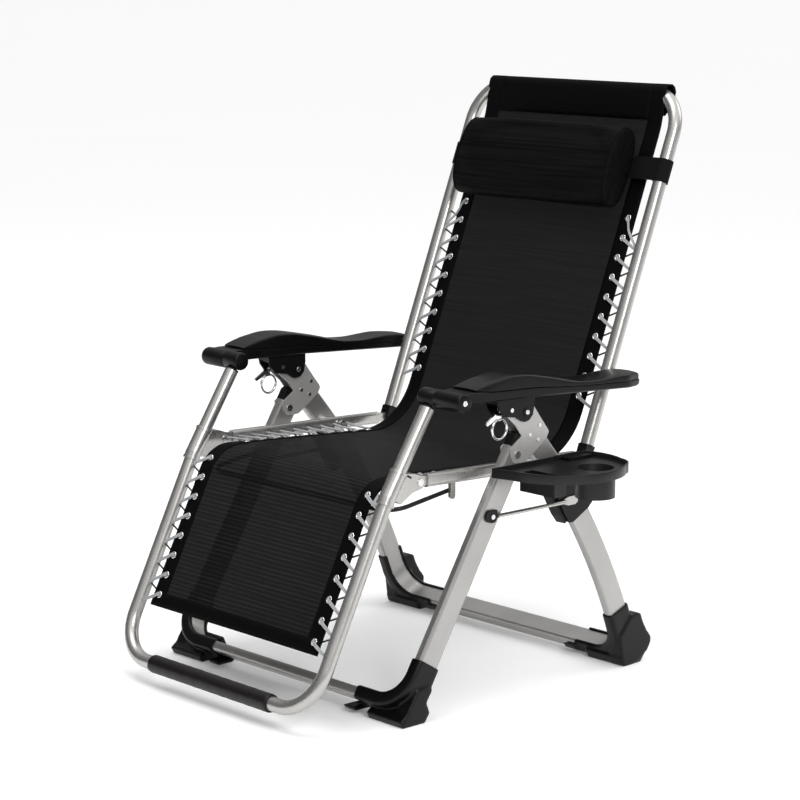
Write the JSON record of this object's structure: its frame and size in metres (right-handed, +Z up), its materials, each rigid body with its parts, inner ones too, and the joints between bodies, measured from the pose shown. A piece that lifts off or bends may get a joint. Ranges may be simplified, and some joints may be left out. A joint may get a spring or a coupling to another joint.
{
  "type": "zero gravity recliner",
  "caption": "Folding zero gravity lounge chair with a laced mesh sling, linked back and foot rest, padded head roll, arm rests and a clip-on side tray.",
  "frame": {"origin": "on the floor under the middle of the whole chair's box", "axes": "+X to the sitter's left (the tray side), +Y towards the back rest, +Z up"},
  "size_m": [0.8544, 0.9676, 1.0797],
  "materials": {
    "leg_paint": "satin",
    "tube_paint": "satin",
    "bracket_paint": "satin",
    "zinc_hardware": "satin",
    "black_plastic": "satin",
    "arm_plastic": "satin",
    "tray_plastic": "satin",
    "foam_grip": "matte",
    "sling_mesh": "matte",
    "pillow_mesh": "matte",
    "lacing_cord": "matte",
    "black_wire": "gloss"
  },
  "bodies": {
    "rear_legs": {"rear_leg_frame": "leg_paint", "rear_foot_left": "black_plastic", "rear_foot_right": "black_plastic", "hinge_plates_left": "bracket_paint", "hinge_plates_right": "bracket_paint", "plate_rivets": "zinc_hardware", "seat_pivot_bolts": "zinc_hardware", "leg_pivot_rivets": "zinc_hardware", "bracket_pivot_pins": "zinc_hardware"},
    "front_legs": {"front_leg_frame": "leg_paint", "front_foot_left": "black_plastic", "front_foot_right": "black_plastic", "front_leg_plugs": "black_plastic", "stay_tabs": "black_plastic", "stay_tab_rivets": "zinc_hardware"},
    "rod_left": {"stay_rod_left": "bracket_paint"},
    "rod_right": {"stay_rod_right": "bracket_paint"},
    "slider_left": {"stay_slider_left": "black_plastic"},
    "slider_right": {"stay_slider_right": "black_plastic"},
    "seat": {"seat_rail_left": "tube_paint", "seat_rail_right": "tube_paint", "under_seat_rod": "black_wire", "under_seat_posts": "zinc_hardware", "sling_seat": "sling_mesh", "eyelets_seat": "zinc_hardware", "lacing_seat_left": "lacing_cord", "lacing_seat_right": "lacing_cord"},
    "back": {"back_frame_tube": "tube_paint", "back_hinge_blocks": "black_plastic", "back_pivot_pins": "zinc_hardware", "arm_bolts": "zinc_hardware", "sling_back": "sling_mesh", "eyelets_back": "zinc_hardware", "lacing_back_left": "lacing_cord", "lacing_back_right": "lacing_cord"},
    "headrest": {"head_pillow": "pillow_mesh", "pillow_straps": "pillow_mesh"},
    "footrest": {"foot_frame_tube": "tube_paint", "foot_posts": "tube_paint", "foot_knuckles": "black_plastic", "gusset_left": "bracket_paint", "gusset_right": "bracket_paint", "gusset_pins": "zinc_hardware", "foot_grip": "foam_grip", "sling_leg": "sling_mesh", "eyelets_leg": "zinc_hardware", "lacing_leg_left": "lacing_cord", "lacing_leg_right": "lacing_cord"},
    "arm_left": {"armrest_left": "arm_plastic"},
    "arm_right": {"armrest_right": "arm_plastic"},
    "bracket_left": {"slide_bracket_left": "black_plastic", "bracket_screws_left": "zinc_hardware"},
    "bracket_right": {"slide_bracket_right": "black_plastic", "bracket_screws_right": "zinc_hardware"},
    "lever_left": {"lock_ring_left": "zinc_hardware"},
    "lever_right": {"lock_ring_right": "zinc_hardware"},
    "tray": {"side_tray": "tray_plastic", "tray_clamp": "black_plastic"}
  },
  "joints": [
    {"name": "recline", "type": "hinge", "parent": "seat", "child": "back", "pos_m": [-0.07075, 0.20465, 0.405], "axis": [-1, 0, 0], "range_deg": [0, 24]},
    {"name": "seat_tilt", "type": "hinge", "parent": "rear_legs", "child": "seat", "pos_m": [-0.07075, 0.07215, 0.409], "axis": [-1, 0, 0], "range_deg": [-0.5, 16.07]},
    {"name": "footrest_lift", "type": "hinge", "parent": "seat", "child": "footrest", "pos_m": [-0.07075, -0.22185, 0.418], "axis": [-1, 0, 0], "range_deg": [-0.5, 24.46]},
    {"name": "legs_fold", "type": "hinge", "parent": "rear_legs", "child": "front_legs", "pos_m": [-0.07075, -0.02735, 0.447], "axis": [1, 0, 0], "range_deg": [0, 45]},
    {"name": "arm_pivot_left", "type": "hinge", "parent": "back", "child": "arm_left", "pos_m": [0.24225, 0.26365, 0.5525], "axis": [-1, 0, 0], "range_deg": [-23.25, 0.5]},
    {"name": "bracket_slide_left", "type": "slide", "parent": "arm_left", "child": "bracket_left", "axis": [0, -0.9998, 0.0211], "range_m": [-0.001, 0.0847]},
    {"name": "lock_lever_left", "type": "hinge", "parent": "bracket_left", "child": "lever_left", "pos_m": [0.24725, -0.06385, 0.528], "axis": [-1, 0, 0], "range_deg": [0, 35]},
    {"name": "rod_swing_left", "type": "hinge", "parent": "front_legs", "child": "rod_left", "pos_m": [0.25425, -0.09035, 0.344], "axis": [1, 0, 0], "range_deg": [-72.05, 0.5]},
    {"name": "slider_travel_left", "type": "slide", "parent": "rear_legs", "child": "slider_left", "axis": [0, 0.532, -0.8467], "range_m": [-0.001, 0.1392]},
    {"name": "arm_pivot_right", "type": "hinge", "parent": "back", "child": "arm_right", "pos_m": [-0.38375, 0.26365, 0.5525], "axis": [-1, 0, 0], "range_deg": [-23.25, 0.5]},
    {"name": "bracket_slide_right", "type": "slide", "parent": "arm_right", "child": "bracket_right", "axis": [0, -0.9998, 0.0211], "range_m": [-0.001, 0.0847]},
    {"name": "lock_lever_right", "type": "hinge", "parent": "bracket_right", "child": "lever_right", "pos_m": [-0.38875, -0.06385, 0.528], "axis": [-1, 0, 0], "range_deg": [0, 35]},
    {"name": "rod_swing_right", "type": "hinge", "parent": "front_legs", "child": "rod_right", "pos_m": [-0.39575, -0.09035, 0.344], "axis": [1, 0, 0], "range_deg": [-72.05, 0.5]},
    {"name": "slider_travel_right", "type": "slide", "parent": "rear_legs", "child": "slider_right", "axis": [0, 0.532, -0.8467], "range_m": [-0.001, 0.1392]},
    {"name": "pillow_slide", "type": "slide", "parent": "back", "child": "headrest", "axis": [0, 0.3713, 0.9285], "range_m": [-0.04, 0.03]},
    {"name": "tray_clip_slide", "type": "slide", "parent": "rear_legs", "child": "tray", "axis": [1, 0, 0], "range_m": [0, 0.06]}
  ],
  "couplings": [
    {"joint": "seat_tilt", "follows": "recline", "ratio": 0.6444},
    {"joint": "footrest_lift", "follows": "recline", "ratio": 0.9943},
    {"joint": "arm_pivot_left", "follows": "recline", "ratio": -0.9437},
    {"joint": "bracket_slide_left", "follows": "recline", "m_per_rad": 0.1997},
    {"joint": "rod_swing_left", "follows": "legs_fold", "ratio": -1.59},
    {"joint": "slider_travel_left", "follows": "legs_fold", "m_per_rad": 0.176},
    {"joint": "arm_pivot_right", "follows": "recline", "ratio": -0.9437},
    {"joint": "bracket_slide_right", "follows": "recline", "m_per_rad": 0.1997},
    {"joint": "rod_swing_right", "follows": "legs_fold", "ratio": -1.59},
    {"joint": "slider_travel_right", "follows": "legs_fold", "m_per_rad": 0.176}
  ]
}
